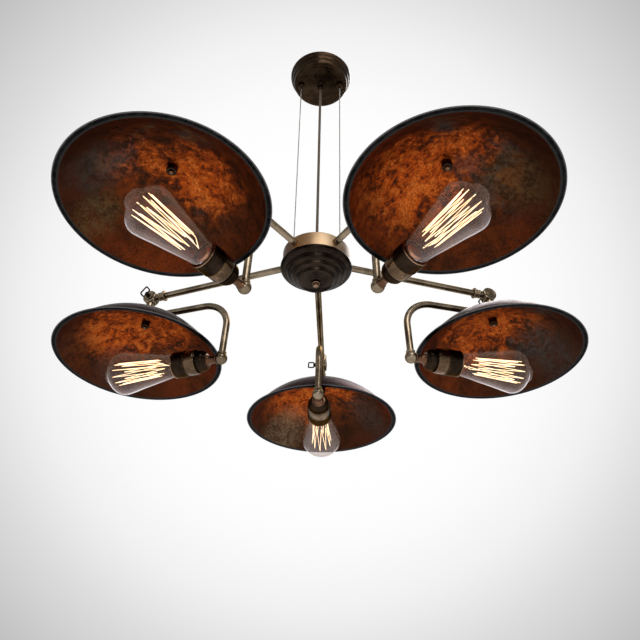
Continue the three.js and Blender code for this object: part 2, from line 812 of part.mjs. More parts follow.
// Five lamps
for (let n = 0; n < lampCount; n += 1) {
  const lamp = new THREE.Group();
  lamp.position.z = armHeight;
  lamp.rotation.z = THREE.MathUtils.degToRad(azimuth(n));
  chandelier.add(lamp);
  place(lamp, `arm_${n + 1}`, armTube(), agedBrass());

  const pivot = new THREE.Group();
  pivot.position.x = pivotRadius;
  lamp.add(pivot);
  place(pivot, `knuckle_${n + 1}`, knuckle(), agedBrass());

  const key = new THREE.Group();
  key.rotation.y = THREE.MathUtils.degToRad(90 - keyTurns[n % keyTurns.length]);
  pivot.add(key);
  place(key, `wing_key_${n + 1}`, wingKey(), darkBronze());

  const head = new THREE.Group();
  head.rotation.y = THREE.MathUtils.degToRad(-restTilt);
  pivot.add(head);
  place(head, `swivel_${n + 1}`, swivel(), agedBrass());
  place(head, `lamp_bar_${n + 1}`, lampBar(), agedBrass());
  place(head, `shade_${n + 1}`, shade(), patina());
  place(head, `shade_nut_${n + 1}`, shadeNut(), darkBronze());

  const socket = new THREE.Group();
  socket.position.set(capReach - barReach, 0, -bulbDrop);
  socket.rotation.y = Math.PI / 2;
  head.add(socket);
  place(socket, `lamp_holder_${n + 1}`, lampHolder(), darkBronze());
  place(socket, `bulb_core_${n + 1}`, bulbCore(), warmFilament());
  place(socket, `bulb_glass_${n + 1}`, bulbGlass(), clearGlass());
}

const filamentGap = leastGap(filamentRoute(), filamentRadius);
console.log(`Least gap of a filament to itself: ${filamentGap.toFixed(2)} mm`);

export default chandelier;
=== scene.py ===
import math

import bmesh
import bpy
from mathutils import Matrix, Vector


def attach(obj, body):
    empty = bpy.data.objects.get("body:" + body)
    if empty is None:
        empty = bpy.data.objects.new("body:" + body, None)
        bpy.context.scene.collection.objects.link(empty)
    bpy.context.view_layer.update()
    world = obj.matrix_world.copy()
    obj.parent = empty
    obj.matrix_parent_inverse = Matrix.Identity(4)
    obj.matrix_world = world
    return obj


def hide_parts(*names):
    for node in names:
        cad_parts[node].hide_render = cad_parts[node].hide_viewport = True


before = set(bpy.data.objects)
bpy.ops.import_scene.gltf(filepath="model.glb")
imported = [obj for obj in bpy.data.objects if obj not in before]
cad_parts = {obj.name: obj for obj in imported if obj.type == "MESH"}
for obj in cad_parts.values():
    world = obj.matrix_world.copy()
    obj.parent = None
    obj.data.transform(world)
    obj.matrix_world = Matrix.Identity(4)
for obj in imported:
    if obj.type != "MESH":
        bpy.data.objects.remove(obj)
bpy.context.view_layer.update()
print("frame loaded:", len(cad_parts), "nodes")

# millimetres, as every length of a shape below
hangDrop = 452      # from the ceiling to the arms
bulbDrop = 137.5    # from a swivel's axis to its bulb's
wireSides = {"left": -35, "right": 35}  # from the flex to each wire
lampCount = 5
firstAzimuth = 90   # degrees, the lamp furthest from the viewer


def azimuth(n):
    return math.radians(firstAzimuth + 360 / lampCount * n)


def newObject(name, data):
    made = bpy.data.objects.new(name, data)
    bpy.context.scene.collection.objects.link(made)
    return made


# Camera, at the photograph's place: looking up from below and in front

viewer = {
    "place": (0.0440, -0.8365, -1.1889),  # metres
    "pitch": 0.6431,                      # radians
    "turn": 0.0441,
    "roll": 0.0188,
    "focal": 746.7,                       # pixels, in a frame 640 across
    "frame": 640,
    "sensor": 36,
    "near": 0.01,
    "far": 50,
}


def viewAxes():
    turn, pitch, roll = viewer["turn"], viewer["pitch"], viewer["roll"]
    right = Vector((math.cos(turn), math.sin(turn), 0))
    level = Vector((-math.sin(turn), math.cos(turn), 0))
    ahead = level * math.cos(pitch) + Vector((0, 0, math.sin(pitch)))
    up = Vector((0, 0, math.cos(pitch))) - level * math.sin(pitch)
    side = right * math.cos(roll) + up * math.sin(roll)
    top = up * math.cos(roll) - right * math.sin(roll)
    return side, top, ahead


def makeCamera():
    data = bpy.data.cameras.new("viewer")
    data.sensor_width = viewer["sensor"]
    data.lens = viewer["focal"] * viewer["sensor"] / viewer["frame"]
    data.clip_start, data.clip_end = viewer["near"], viewer["far"]
    camera = newObject("viewer", data)
    side, top, ahead = viewAxes()
    facing = Matrix((side, top, -ahead)).transposed().to_4x4()
    camera.matrix_world = Matrix.Translation(viewer["place"]) @ facing
    bpy.context.scene.camera = camera


makeCamera()
print("camera set")

# Shader maths: a link wraps a socket, and an expression on links adds its Math nodes


class Link:
    def __init__(self, socket):
        self.socket = socket

    def math(self, operation, first, second):
        tree = self.socket.node.id_data
        node = tree.nodes.new("ShaderNodeMath")
        node.operation = operation
        for socket, value in zip(node.inputs, (first, second)):
            connect(socket, value)
        return Link(node.outputs[0])

    def __add__(self, other):
        return self.math("ADD", self, other)

    def __radd__(self, other):
        return self.math("ADD", other, self)

    def __sub__(self, other):
        return self.math("SUBTRACT", self, other)

    def __rsub__(self, other):
        return self.math("SUBTRACT", other, self)

    def __mul__(self, other):
        return self.math("MULTIPLY", self, other)

    def __rmul__(self, other):
        return self.math("MULTIPLY", other, self)


def connect(socket, value):
    if isinstance(value, Link):
        socket.node.id_data.links.new(value.socket, socket)
    elif isinstance(value, (tuple, list)) and socket.type == "RGBA":
        socket.default_value = (*value[:3], 1)
    else:
        socket.default_value = value


# the nodes of one finish, on a new material or on the world
class Finish:
    def __init__(self, name, owner=None):
        self.owner = owner or bpy.data.materials.new(name)
        self.owner.use_nodes = True
        self.tree = self.owner.node_tree
        self.tree.nodes.clear()

    # any node: its type, its settings, its sockets, and the output that is wanted
    def node(self, kind, settings=None, sockets=None, output=0):
        node = self.tree.nodes.new("ShaderNode" + kind)
        for key, value in (settings or {}).items():
            if key == "stops":
                ramp = node.color_ramp
                while len(ramp.elements) < len(value):
                    ramp.elements.new(1)
                for element, (place, colour) in zip(ramp.elements, value):
                    element.position = place
                    element.color = (*colour, 1)
            else:
                setattr(node, key, value)
        for key, value in (sockets or {}).items():
            connect(node.inputs[key], value)
        return Link(node.outputs[output])

    # place on the piece in millimetres
    def place(self):
        spot = self.node("TexCoord", output="Object")
        return self.node("VectorMath", {"operation": "SCALE"}, {0: spot, "Scale": 1000})

    # moved by each piece's own luck, so that no two pieces show the same clouds
    def apart(self, spot):
        luck = self.node("ObjectInfo", output="Random") * 900
        return self.node("VectorMath", {"operation": "ADD"}, {0: spot, 1: luck})

    # place along a turned piece's profile, the same all round it
    def lane(self, spot):
        return self.node("CombineXYZ", None, {0: self.distance(spot), 1: self.along(spot, "Z")})

    def along(self, spot, axis):
        return self.node("SeparateXYZ", None, {0: spot}, axis)

    def distance(self, spot, centre=(0, 0, 0)):
        away = self.node("VectorMath", {"operation": "SUBTRACT"}, {0: spot, 1: centre})
        flat = self.node("VectorMath", {"operation": "MULTIPLY"}, {0: away, 1: (1, 1, 0)})
        return self.node("VectorMath", {"operation": "LENGTH"}, {0: flat}, 1)

    def size(self, value):
        return self.node("Math", {"operation": "ABSOLUTE"}, {0: value})

    def noise(self, spot, scale, detail, roughness=0.55, distortion=0):
        sockets = {"Vector": spot, "Scale": scale, "Detail": detail, "Roughness": roughness,
                   "Distortion": distortion}
        return self.node("TexNoise", None, sockets)

    def spread(self, value, low, high, first=0, last=1):
        sockets = {0: value, 1: low, 2: high, 3: first, 4: last}
        return self.node("MapRange", {"interpolation_type": "SMOOTHSTEP"}, sockets)

    # thin lines, along which a noise crosses its middle
    def lines(self, noise, width):
        return self.spread(self.size(noise - 0.5), 0, width, 1, 0)

    def mix(self, share, first, second):
        settings = {"data_type": "RGBA"}
        return self.node("Mix", settings, {0: share, 6: first, 7: second}, 2)

    def bump(self, height, strength, depth):
        sockets = {"Height": height, "Strength": strength, "Distance": depth}
        return self.node("Bump", None, sockets)

    def shader(self, **values):
        node = self.tree.nodes.new("ShaderNodeBsdfPrincipled")
        for key, value in values.items():
            connect(node.inputs[key.replace("_", " ")], value)
        return Link(node.outputs[0])

    def metal(self, colour, rough, edge=(1, 1, 1), **rest):
        return self.close(self.shader(
            Base_Color=colour, Metallic=1.0, Roughness=rough, Specular_Tint=edge, **rest))

    def close(self, surface, output="OutputMaterial"):
        node = self.tree.nodes.new("ShaderNode" + output)
        connect(node.inputs["Surface"], surface)
        return self.owner


# Finishes. Tones are the darkest and the lightest, a scale is per millimetre, and an edge is the
# tint of the sheen where a metal is seen at a slant.

plainMetals = {
    "agedBrass": {"tones": ((0.2, 0.152, 0.1), (0.41, 0.32, 0.22)), "roughness": 0.2,
                  "grainScale": 0.2, "wear": 0.2, "edge": (0.34, 0.27, 0.2)},
    "finialBrass": {"tones": ((0.22, 0.125, 0.075), (0.42, 0.26, 0.17)), "roughness": 0.2},
    "darkSteel": {"tones": ((0.02, 0.013, 0.009), (0.055, 0.036, 0.025)), "roughness": 0.28},
    "nippleCopper": {"tones": ((0.13, 0.065, 0.038), (0.24, 0.125, 0.07)), "roughness": 0.28},
    "stemCopper": {"tones": ((0.64, 0.35, 0.24), (0.84, 0.52, 0.38)), "roughness": 0.35},
    "holderDark": {"tones": ((0.014, 0.009, 0.006), (0.044, 0.028, 0.018)), "roughness": 0.25,
                   "edge": (0.6, 0.5, 0.42)},
    "holderBand": {"tones": ((0.07, 0.044, 0.026), (0.24, 0.15, 0.085)), "roughness": 0.2},
    "wireSteel": {"tones": ((0.42, 0.4, 0.37), (0.52, 0.5, 0.47)), "roughness": 0.5},
    "zincSteel": {"tones": ((0.38, 0.4, 0.42), (0.56, 0.58, 0.6)), "roughness": 0.35},
}

turnedMetals = {
    "coverBronze": {"tones": ((0.016, 0.011, 0.008), (0.046, 0.031, 0.022)), "roughness": 0.22},
    "roseBronze": {"tones": ((0.022, 0.013, 0.007), (0.062, 0.036, 0.02)), "roughness": 0.24},
    "dishOutside": {"tones": ((0.026, 0.02, 0.02), (0.066, 0.052, 0.05)), "roughness": 0.24,
                    "ringScale": 0.35, "ringDepth": 0.12, "edge": (0.52, 0.48, 0.48)},
}


def plainMetal(name, tones, roughness, grainScale=0.6, wear=0.5, edge=(1, 1, 1)):
    finish = Finish(name)
    spot = finish.apart(finish.place())
    cloud = finish.noise(spot, 0.03, 5, 0.6, 0.4)
    grain = finish.noise(spot, grainScale, 3, 0.6)
    share = finish.spread(cloud * (1 - wear * 0.4) + grain * (wear * 0.4), 0.38, 0.62)
    dull = grain * 0.5 + cloud * 0.5
    rough = finish.spread(dull, 0.35, 0.65, roughness - 0.06, roughness + 0.1)
    relief = finish.bump(grain, 0.05, 0.0002)
    return finish.metal(finish.mix(share, *tones), rough, edge, Normal=relief)


def turnedMetal(name, tones, roughness, ringScale=0.7, ringDepth=0.18, edge=(1, 1, 1)):
    finish = Finish(name)
    spot = finish.place()
    rings = finish.noise(finish.lane(spot), ringScale, 2, 0.5)
    cloud = finish.noise(finish.apart(spot), 0.035, 5, 0.62, 0.5)
    share = finish.spread(cloud * 0.65 + rings * 0.35, 0.38, 0.62)
    dull = cloud * 0.6 + rings * 0.4
    rough = finish.spread(dull, 0.35, 0.65, roughness - 0.05, roughness + 0.12)
    relief = finish.bump(rings, ringDepth, 0.0003)
    return finish.metal(finish.mix(share, *tones), rough, edge, Normal=relief)


drumBrass = {
    # dark is the tone of the painted shade at the sides, light the tone of the painted light to the
    # right
    "dark": (0.115, 0.06, 0.04),
    "warm": (0.42, 0.205, 0.075),
    "light": (0.76, 0.54, 0.33),
    "grey": (0.34, 0.24, 0.16),
    "paintedLightRamp": (-24, 22),    # painted light: where warm turns to light, from left to right
    "paintedSideShade": (27, 42),     # painted shade: where both sides turn dark, away from the middle
    "roughness": (0.38, 0.50),
}


# painted light in front and behind, from a warm left to a light right, and painted shade darkening
# the two sides
def drumFinish():
    look = drumBrass
    finish = Finish("hubBrass")
    spot = finish.place()
    across = finish.along(spot, "X")
    rings = finish.noise(finish.lane(spot), 2.2, 2, 0.5)
    cloud = finish.noise(spot, 0.05, 5, 0.62, 0.5)
    stray = cloud - 0.5
    # painted light: lighter towards the right
    litShare = finish.spread(across + stray * 40, *look["paintedLightRamp"])
    colour = finish.mix(litShare, look["warm"], look["light"])
    tarnish = finish.spread(cloud * 0.5 + rings * 0.5, 0.4, 0.62, 0.4, 0)
    colour = finish.mix(tarnish, colour, look["grey"])
    # painted shade at the two sides
    sides = finish.spread(finish.size(across) + stray * 20, *look["paintedSideShade"], 0, 0.88)
    colour = finish.mix(sides, colour, look["dark"])
    rough = finish.spread(cloud * 0.6 + rings * 0.4, 0.35, 0.65, *look["roughness"])
    relief = finish.bump(rings, 0.18, 0.0003)
    return finish.metal(colour, rough, Normal=relief)


dishInside = {
    "umber": (0.026, 0.0105, 0.0055),
    "oxide": (0.14, 0.03, 0.006),
    "ember": (0.36, 0.055, 0.006),
    "copper": (0.76, 0.14, 0.01),
    "straw": (1, 0.4, 0.08),
    "slate": (0.052, 0.053, 0.05),
    "olive": (0.15, 0.105, 0.042),
    "dust": (0.21, 0.15, 0.088),
    "sheen": (0.8, 0.45, 0.28),
    # scale, detail, roughness and distortion of each noise
    "noises": {
        "broad": (0.014, 3, 0.6, 0.6), "cloud": (0.045, 6, 0.66, 0.8),
        "mottle": (0.17, 7, 0.7, 0.7), "grain": (0.55, 5, 0.72, 0.6),
        "vein": (0.11, 5, 0.62, 2.6), "worm": (0.22, 3, 0.55, 3.2),
    },
    "veinWidth": 0.018,
    "wormWidth": 0.03,
    # each lamp's bright patch and its lesser one, partly heat tint and partly painted light from
    # the bulb:
    # x away from the hub, y, reach, strength
    "patches": [
        ((30, 46, 88, 1.0), (-4, -28, 60, 0.8)),
        ((60, 4, 110, 0.95), (-34, -10, 76, 0.8)),
        ((-28, 24, 74, 1.0), (42, -22, 56, 0.45)),
        ((-44, -30, 106, 1.0), (36, 4, 56, 0.7)),
        ((-14, 36, 92, 0.72), (24, -20, 56, 0.45)),
    ],
    # each lamp's dull spots: x, y, reach, strength, tone
    "scorches": [
        ((74, 70, 54, 0.95, "dust"), (34, -82, 50, 0.7, "slate")),
        ((78, -48, 40, 0.6, "slate"), (-70, 40, 36, 0.5, "slate")),
        ((66, -48, 50, 0.7, "slate"), (24, -98, 38, 0.6, "olive")),
        ((44, 66, 50, 0.5, "olive"), (12, 22, 26, 0.8, "slate")),
        ((94, 6, 62, 0.7, "slate"), (-20, -76, 36, 0.6, "olive")),
    ],
}


# burnt in the flame: brown ground, grey and green clouds far from the hub, orange patches with thin
# light lines in them, partly heat tint and partly painted light from the bulb, and over these a
# painted reflection of the bulb in a red band by the rim, painted shade darkening the wall towards
# the rim, and the dull spots
def patinaFinish(n):
    look = dishInside
    finish = Finish("dishInside_" + str(n + 1))
    sockets = {"Vector": finish.place(), "Angle": -azimuth(n)}
    local = finish.node("VectorRotate", {"rotation_type": "Z_AXIS"}, sockets)
    spot = finish.apart(local)
    out, side = finish.distance(local), finish.along(local, "X")
    spread = finish.spread
    broad, cloud, mottle, grain, vein, worm = [
        finish.noise(spot, *noise) for noise in look["noises"].values()
    ]
    vein, worm = finish.lines(vein, look["veinWidth"]), finish.lines(worm, look["wormWidth"])
    # painted light from the bulb, partly heat tint: the pools around each lamp's two patches
    first, second = [
        spread(finish.distance(local, (x, y, 0)), reach * 0.2, reach, strength, 0)
        for x, y, reach, strength in look["patches"][n]
    ]
    near = first + second * (1 - first)
    far = spread(side, -45, 55, 0.3, 1)

    rust = spread(cloud * 0.7 + mottle * 0.3, 0.38, 0.60)
    slate = spread(broad * 0.45 + mottle * 0.35 + grain * 0.2, 0.505, 0.575, 0, 0.8)
    olive = spread(broad * 0.3 + cloud * 0.5 + grain * 0.2, 0.535, 0.60, 0, 0.7)
    # painted glow of the bulb's light, partly heat tint, in and around the patches
    glow = spread(cloud * 0.4 + mottle * 0.3 + grain * 0.3 + near * 0.12, 0.48, 0.63)
    patch = spread(cloud * 0.5 + mottle * 0.5 + near * 0.15, 0.53, 0.70)
    patch = patch * spread(near, 0, 0.5)
    heart = spread(near, 0.6, 1, 0, 0.03)
    copper = spread(mottle * 0.6 + grain * 0.4 + heart, 0.49, 0.66)
    straw = (vein * 1.2 + worm * spread(grain, 0.5, 0.62)) * patch
    burn = spread(cloud * 0.3 + mottle * 0.5 + grain * 0.2, 0.40, 0.48, 0.8, 0)
    # painted reflection of the bulb's light in a red band by the rim
    band = spread(out, 92, 108) * spread(broad * 0.4 + grain * 0.6, 0.46, 0.58)
    # painted shade: darker towards the rim, most on the side away from the hub
    shade = spread(out, 66, 106, 0, 0.85) * spread(side, -60, 60, 0.5, 1)
    layers = [
        (slate * spread(out, 24, 58) * far, "slate"),
        (olive * spread(out, 40, 74) * far, "olive"),
        (glow * spread(near, -0.1, 0.5) * 0.55, "ember"),
        (patch * 0.8, "ember"),
        (copper * patch * 0.85, "copper"),
        (worm * patch * spread(cloud, 0.38, 0.56, 0.25, 0.85), "copper"),
        (finish.node("Clamp", None, {0: straw * spread(cloud, 0.46, 0.60)}), "straw"),
        (burn, "umber"),
        (band * 0.8, "ember"),
        (shade, "umber"),
    ]
    dull = spread(cloud * 0.3 + mottle * 0.4 + grain * 0.3, 0.45, 0.56, 0.15, 0.85)
    for x, y, reach, strength, tone in look["scorches"][n]:
        away = finish.distance(local, (x, y, 0)) + (cloud - 0.5) * 60
        layers.append((dull * spread(away, reach * 0.35, reach, strength, 0), tone))
    colour = finish.mix(rust, look["umber"], look["oxide"])
    for share, tone in layers:
        colour = finish.mix(share, colour, look[tone])

    rough = spread(mottle * 0.6 + grain * 0.4, 0.35, 0.65, 0.34, 0.55)
    metal = spread(mottle, 0.4, 0.6, 0.8, 0.6)
    relief = finish.bump(mottle * 0.6 + grain * 0.4, 0.14, 0.0005)
    return finish.close(finish.shader(
        Base_Color=colour, Metallic=metal, Roughness=rough, Specular_IOR_Level=0.3,
        Specular_Tint=look["sheen"], Normal=relief))


rimSteel = {
    "tones": ((0.006, 0.006, 0.006), (0.016, 0.0155, 0.015)),
    "innerEdgeTone": (0.04, 0.038, 0.038),
    # tone of the painted highlight along the outer edge
    "outerHighlight": (0.17, 0.16, 0.165),
    "innerEdge": (120.2, 121.6),
    "outerEdge": (125.6, 126.8),
    "edge": (0.55, 0.55, 0.57),
}


# dark flange, with a painted highlight along its outer edge, and a little lighter along the inner
# one
def rimFinish():
    look = rimSteel
    finish = Finish("rimSteel")
    spot = finish.place()
    out = finish.distance(spot)
    grain = finish.noise(finish.apart(spot), 0.12, 4, 0.6)
    outer = finish.spread(out + grain * 1.2, *look["outerEdge"])
    inner = finish.spread(out - grain * 1.2, *look["innerEdge"], 1, 0)
    colour = finish.mix(finish.spread(grain, 0.4, 0.6), *look["tones"])
    colour = finish.mix(inner * 0.7, colour, look["innerEdgeTone"])
    # painted highlight along the outer edge
    colour = finish.mix(outer * 0.9, colour, look["outerHighlight"])
    rough = finish.spread(grain, 0.35, 0.65, 0.3, 0.45)
    return finish.metal(colour, rough, look["edge"])


clearGlass = {
    "tint": (0.98, 0.96, 0.945),
    # tones of the painted reflection, upper and lower
    "upperReflection": (0.42, 0.30, 0.24),
    "lowerReflection": (0.56, 0.50, 0.51),
    # line and glint are a painted highlight along the lower edge, which glows
    "line": (0.95, 0.92, 0.94),
    "glint": (0.60, 0.57, 0.60),
    "lowerSide": (-24, 2),       # below the bulb's axis
}


# clear, with a painted reflection that thickens towards the lower side, and a painted highlight
# line, glowing, along its edge
def glassFinish():
    look = clearGlass
    finish = Finish("clearGlass")
    spot = finish.place()
    streaks = finish.noise(finish.apart(spot), 0.03, 2, 0.5, 0.3)
    edge = finish.node("LayerWeight", None, {"Blend": 0.5}, "Facing")
    below = finish.spread(finish.along(spot, "Z") + bulbDrop, *look["lowerSide"], 1, 0)
    # painted highlight along the lower edge
    line = finish.spread(edge, 0.76, 0.92) * finish.spread(below, 0.3, 0.9)
    # painted reflection, thicker towards the edge and the lower side
    reflectionShare = finish.spread(edge + (streaks - 0.5) * 0.06, 0.15, 0.90, 0.04, 0.22)
    share = reflectionShare * (0.7 + below * 0.8) + line * 0.9
    clear = finish.node("BsdfTransparent", None, {"Color": look["tint"]})
    reflectionColour = finish.mix(below * 0.8 + streaks * 0.2, look["upperReflection"], look["lowerReflection"])
    reflectionColour = finish.mix(line, reflectionColour, look["line"])
    glint = finish.mix(line, (0, 0, 0), look["glint"])
    # the painted highlight glows through the emission
    shine = finish.shader(
        Base_Color=reflectionColour, Metallic=0.15, Roughness=0.10, Emission_Color=glint, Emission_Strength=1)
    return finish.close(finish.node("MixShader", None, {0: share, 1: clear, 2: shine}))


glowingFilament = {
    "ember": (0.3, 0.12, 0.04),
    "tones": ((1.0, 0.68, 0.36), (1.0, 0.82, 0.54)),
    "strength": 2.5,
}


def glowFinish():
    look = glowingFilament
    finish = Finish("glowingFilament")
    ripple = finish.noise(finish.apart(finish.place()), 0.08, 2, 0.5)
    colour = finish.mix(finish.spread(ripple, 0.35, 0.65), *look["tones"])
    return finish.close(finish.shader(
        Base_Color=look["ember"], Roughness=0.6, Emission_Color=colour,
        Emission_Strength=look["strength"]))


flexSheath = {
    "tones": ((0.055, 0.036, 0.022), (0.115, 0.078, 0.048)),
    "weaveScale": 1.6,
    "roughness": 0.6,
}


def sheathFinish():
    finish = Finish("flexSheath")
    weave = finish.noise(finish.place(), flexSheath["weaveScale"], 2, 0.5)
    colour = finish.mix(finish.spread(weave, 0.35, 0.65), *flexSheath["tones"])
    relief = finish.bump(weave, 0.4, 0.0003)
    return finish.close(finish.shader(
        Base_Color=colour, Roughness=flexSheath["roughness"], Normal=relief))


finishes = {finish.name: finish for finish in (
    *(plainMetal(name, **look) for name, look in plainMetals.items()),
    *(turnedMetal(name, **look) for name, look in turnedMetals.items()),
    *map(patinaFinish, range(lampCount)),
    drumFinish(), rimFinish(), glassFinish(), glowFinish(), sheathFinish(),
)}
print("finishes made:", len(finishes))

# Shapes. A profile is a list of (radius, distance along the axis), and a third item is the number
# of the finish from there on.

easeSteps = 4         # on each eased corner
nearlyStraight = 2.9  # radians, from where a corner stays as it is
touching = 1e-6       # closer than this is the same point


def newShape(points, faces, slots=None):
    mesh = bpy.data.meshes.new("shape")
    mesh.from_pydata([tuple(p) for p in points], [], faces)
    if slots:
        mesh.polygons.foreach_set("material_index", slots)
    mesh.update()
    form = bmesh.new()
    form.from_mesh(mesh)
    bmesh.ops.recalc_face_normals(form, faces=form.faces)
    form.to_mesh(mesh)
    form.free()
    return mesh


# a corner rounded off towards its two neighbours
def bend(before, corner, after, reach, steps):
    first = corner + (before - corner).normalized() * reach
    second = corner + (after - corner).normalized() * reach
    made = []
    for k in range(steps + 1):
        t = k / steps
        made.append(first * (1 - t) ** 2 + corner * 2 * t * (1 - t) + second * t ** 2)
    return made


def eased(profile, radius):
    slot, full = 0, []
    for point in profile:
        slot = point[2] if len(point) > 2 else slot
        full.append((Vector(point[:2]), slot))
    closed = (full[0][0] - full[-1][0]).length < touching
    last = len(full) - 1
    made = []
    for i, (corner, slot) in enumerate(full[:-1] if closed else full):
        before, slotBefore = full[i - 1 if i else last - 1]
        after = full[i + 1 if i < last else 0][0]
        back, ahead = before - corner, after - corner
        alone = not closed and i in (0, last) or min(back.length, ahead.length) < touching
        if alone or back.angle(ahead) > nearlyStraight:
            made.append((corner, slot))
            continue
        reach = min(radius, back.length * 0.45, ahead.length * 0.45)
        for k, point in enumerate(bend(before, corner, after, reach, easeSteps)):
            made.append((point, slot if 2 * k >= easeSteps else slotBefore))
    if closed:
        made.append(made[0])
    return made


def turned(profile, sides, axis="z", ease=0.5):
    points, faces, slots, rings = [], [], [], []
    path = eased(profile, ease)
    closed = (path[0][0] - path[-1][0]).length < touching
    for (radius, height), _ in path[:-1] if closed else path:
        if radius < touching:
            rings.append([len(points)])
            points.append((0, 0, height))
            continue
        rings.append(list(range(len(points), len(points) + sides)))
        for k in range(sides):
            angle = 2 * math.pi * (k + 0.5) / sides
            points.append((radius * math.cos(angle), radius * math.sin(angle), height))
    if closed:
        rings.append(rings[0])
    for i in range(len(rings) - 1):
        one, two = rings[i], rings[i + 1]
        if len(one) == 1 and len(two) == 1:
            continue
        for k in range(sides):
            m = (k + 1) % sides
            if len(one) == 1:
                faces.append((one[0], two[k], two[m]))
            elif len(two) == 1:
                faces.append((one[k], two[0], one[m]))
            else:
                faces.append((one[k], two[k], two[m], one[m]))
            slots.append(path[i][1])
    if axis == "x":
        points = [(z, x, y) for x, y, z in points]
    if axis == "y":
        points = [(y, z, x) for x, y, z in points]
    return newShape(points, faces, slots)


def rod(radius, low, high, axis="z", sides=48, ease=0.3):
    return turned([(0, low), (radius, low), (radius, high), (0, high)], sides, axis, ease)


# a round bar along a path, turned as little as possible on its way
def swept(path, radius, sides, closed=False):
    path = [Vector(p) for p in path]
    count = len(path)
    heading = []
    for i in range(count):
        ahead = path[(i + 1) % count] if closed or i < count - 1 else path[i]
        behind = path[i - 1] if closed or i > 0 else path[i]
        heading.append((ahead - behind).normalized())
    across = heading[0].orthogonal().normalized()
    frames = []
    for i in range(count):
        across = (across - heading[i] * across.dot(heading[i])).normalized()
        frames.append((across.copy(), heading[i].cross(across)))
    twist = 0
    if closed:
        start = (across - heading[0] * across.dot(heading[0])).normalized()
        twist = math.atan2(start.dot(frames[0][1]), start.dot(frames[0][0]))
    points, faces = [], []
    for i, (one, two) in enumerate(frames):
        for k in range(sides):
            angle = 2 * math.pi * k / sides - twist * i / count
            points.append(path[i] + one * (radius * math.cos(angle))
                          + two * (radius * math.sin(angle)))
    for i in range(count if closed else count - 1):
        for k in range(sides):
            m, j = (k + 1) % sides, (i + 1) % count
            faces.append((i * sides + k, i * sides + m, j * sides + m, j * sides + k))
    if not closed:
        faces.append(tuple(range(sides)))
        faces.append(tuple(range((count - 1) * sides, count * sides)))
    return newShape(points, faces)


def moved(shape, x=0, z=0):
    shape.transform(Matrix.Translation((x, 0, z)))
    return shape


def gathered(*shapes):
    form = bmesh.new()
    for shape in shapes:
        form.from_mesh(shape)
    mesh = bpy.data.meshes.new("shape")
    form.to_mesh(mesh)
    form.free()
    return mesh


# joins shapes into one skin, or cuts the later ones out of the first
def carved(operation, base, *others):
    made = [newObject("tool", shape) for shape in (base, *others)]
    for other in made[1:]:
        step = made[0].modifiers.new("step", "BOOLEAN")
        step.operation, step.object, step.solver = operation, other, "EXACT"
    seen = made[0].evaluated_get(bpy.context.evaluated_depsgraph_get())
    mesh = bpy.data.meshes.new_from_object(seen)
    for piece in made:
        bpy.data.objects.remove(piece)
    return mesh


# part of a circle about the axis, through two points of a profile
def arc(low, high, rings):
    (r0, z0), (r1, z1) = low, high
    centre = (r1 * r1 - r0 * r0 + z1 * z1 - z0 * z0) / (2 * (z1 - z0))
    radius = math.hypot(r0, z0 - centre)
    start, end = math.atan2(r0, z0 - centre), math.atan2(r1, z1 - centre)
    angles = [start + (end - start) * i / rings for i in range(rings + 1)]
    return [(radius * math.sin(a), centre + radius * math.cos(a)) for a in angles]


def smoothLine(points, steps):
    points = [Vector(p) for p in points]
    made = []
    for i in range(len(points) - 1):
        a, b = points[max(i - 1, 0)], points[i]
        c, d = points[i + 1], points[min(i + 2, len(points) - 1)]
        for k in range(steps):
            t = k / steps
            made.append(0.5 * ((2 * b) + (c - a) * t + (2 * a - 5 * b + 4 * c - d) * t ** 2
                               + (3 * b - a - 3 * c + d) * t ** 3))
    return [*made, points[-1]]


# a lamp's number turns the mesh itself, so that the piece's own box stays square to the frame
def addPiece(name, shape, worn, body, node, slot, where=None, n=None, sharp=38):
    spin = Matrix() if n is None else Matrix.Rotation(azimuth(n), 4, "Z")
    mesh = shape.copy()
    mesh.name = name
    mesh.transform(spin @ Matrix.Scale(0.001, 4))
    for finish in worn:
        mesh.materials.append(finishes[finish])
    mesh.polygons.foreach_set("use_smooth", [True] * len(mesh.polygons))
    mesh.set_sharp_from_angle(angle=math.radians(sharp))
    piece = newObject(name, mesh)
    piece.matrix_world = (where or Matrix()) @ spin.inverted()
    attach(piece, body)
    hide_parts(*([node] if node else []))


# Cords: the flex and the two wires, taut from the rose to the hub

cords = {
    "wireRadius": 0.9,
    "flexRadius": 2.2,
    "wireTop": -33.6,
    "flexTop": -36.3,
    "bottom": -431.0,
    "points": 16,
    "roundness": 4,
}


def makeCord(node, x, top, radius, finish):
    data = bpy.data.curves.new(node + "Cord", "CURVE")
    data.dimensions = "3D"
    data.bevel_depth = radius / 1000
    data.bevel_resolution = cords["roundness"]
    data.use_fill_caps = True
    line = data.splines.new("POLY")
    line.points.add(cords["points"] - 1)
    for i, point in enumerate(line.points):
        height = top + (cords["bottom"] - top) * i / (cords["points"] - 1)
        point.co = (x / 1000, 0, height / 1000, 1)
    data.materials.append(finishes[finish])
    piece = newObject(node + "Cord", data)
    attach(piece, "frame")
    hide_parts(node)


for side, x in wireSides.items():
    makeCord("wire_" + side, x, cords["wireTop"], cords["wireRadius"], "wireSteel")
makeCord("flex", 0, cords["flexTop"], cords["flexRadius"], "flexSheath")
print("cords hung")

# Ceiling bracket, rose and grips

rose = {
    "radius": 55,
    "faceRadius": 45.5,
    "depth": 24,
    "wall": 1.6,
    "steps": 3,
    "bushRadius": 7.2,
    "bushLength": 12,
    "studHole": 3.3,
    "gripRadius": 5.7,
    "gripTip": 3.2,
    "gripLength": 9.3,
}


